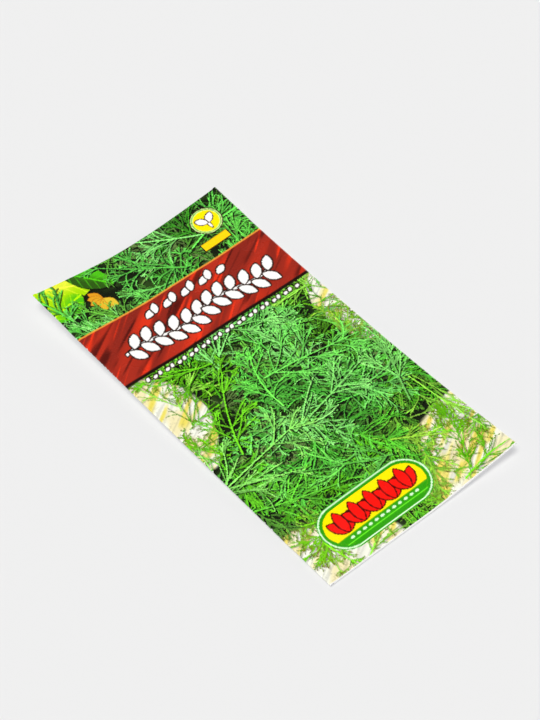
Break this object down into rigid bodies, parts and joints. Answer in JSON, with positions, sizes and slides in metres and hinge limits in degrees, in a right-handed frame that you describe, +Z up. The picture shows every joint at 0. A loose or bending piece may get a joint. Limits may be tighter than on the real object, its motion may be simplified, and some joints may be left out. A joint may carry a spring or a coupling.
{
  "type": "seed packet",
  "caption": "Flat printed paper seed packet, folded and glued shut round a thin layer of loose seeds.",
  "frame": {"origin": "on the surface that the packet's back lies on, under the middle of the packet", "axes": "+X to the packet's right and +Y to its top as the front is seen, +Z up out of the front"},
  "size_m": [0.08, 0.15, 0.007],
  "materials": {
    "envelope_paper": "coated printed paper, semi-gloss outside and bare white inside",
    "seed_husk": "dry ribbed seed husk, matte brown"
  },
  "bodies": {
    "root": {"envelope": "envelope_paper", "seeds": "seed_husk"}
  },
  "joints": []
}
